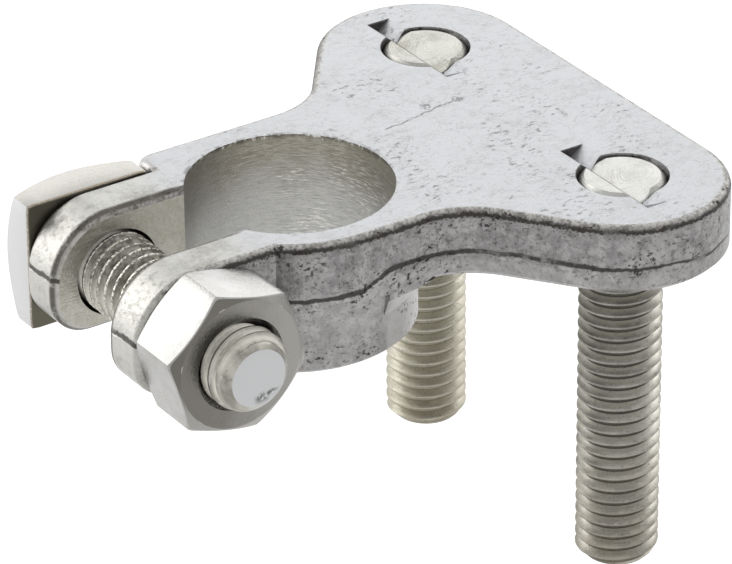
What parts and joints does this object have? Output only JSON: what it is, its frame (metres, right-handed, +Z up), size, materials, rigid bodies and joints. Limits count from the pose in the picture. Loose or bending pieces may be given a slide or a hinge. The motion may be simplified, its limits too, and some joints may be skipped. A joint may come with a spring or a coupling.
{
  "type": "battery terminal clamp",
  "caption": "Cast battery terminal clamp: a split collar closed by a square-headed bolt and nut, and a flat plate with threaded studs staked into it for cable lugs.",
  "frame": {"origin": "where the axis of the post bore meets the top face of the plate", "axes": "+Z up along the bore, the studs point along -Z; +X from the bore towards the studs; +Y towards the square head of the clamp bolt, the nut is on the -Y side"},
  "size_m": [0.059, 0.0524, 0.041],
  "materials": {
    "tinned_casting": "tin-plated brass casting, dull grey with worn edges",
    "plated_stud": "zinc-plated rolled thread",
    "plated_bolt": "zinc-plated steel",
    "bright_nut": "bright plated steel"
  },
  "bodies": {
    "clamp": {"clamp_body": "tinned_casting", "stud_back": "plated_stud", "stud_front": "plated_stud"},
    "bolt": {"clamp_bolt": "plated_bolt"},
    "nut": {"hex_nut": "bright_nut"}
  },
  "joints": [
    {"name": "nut_spin", "type": "hinge", "parent": "clamp", "child": "nut", "pos_m": [-0.01585, -0.0096, -0.0064], "axis": [0, -1, 0], "range_deg": [0, 720]},
    {"name": "bolt_slide", "type": "slide", "parent": "clamp", "child": "bolt", "axis": [0, 1, 0], "range_m": [0, 0.0025]}
  ],
  "couplings": [
    {"joint": "bolt_slide", "follows": "nut_spin", "m_per_rad": 0.00019894}
  ]
}
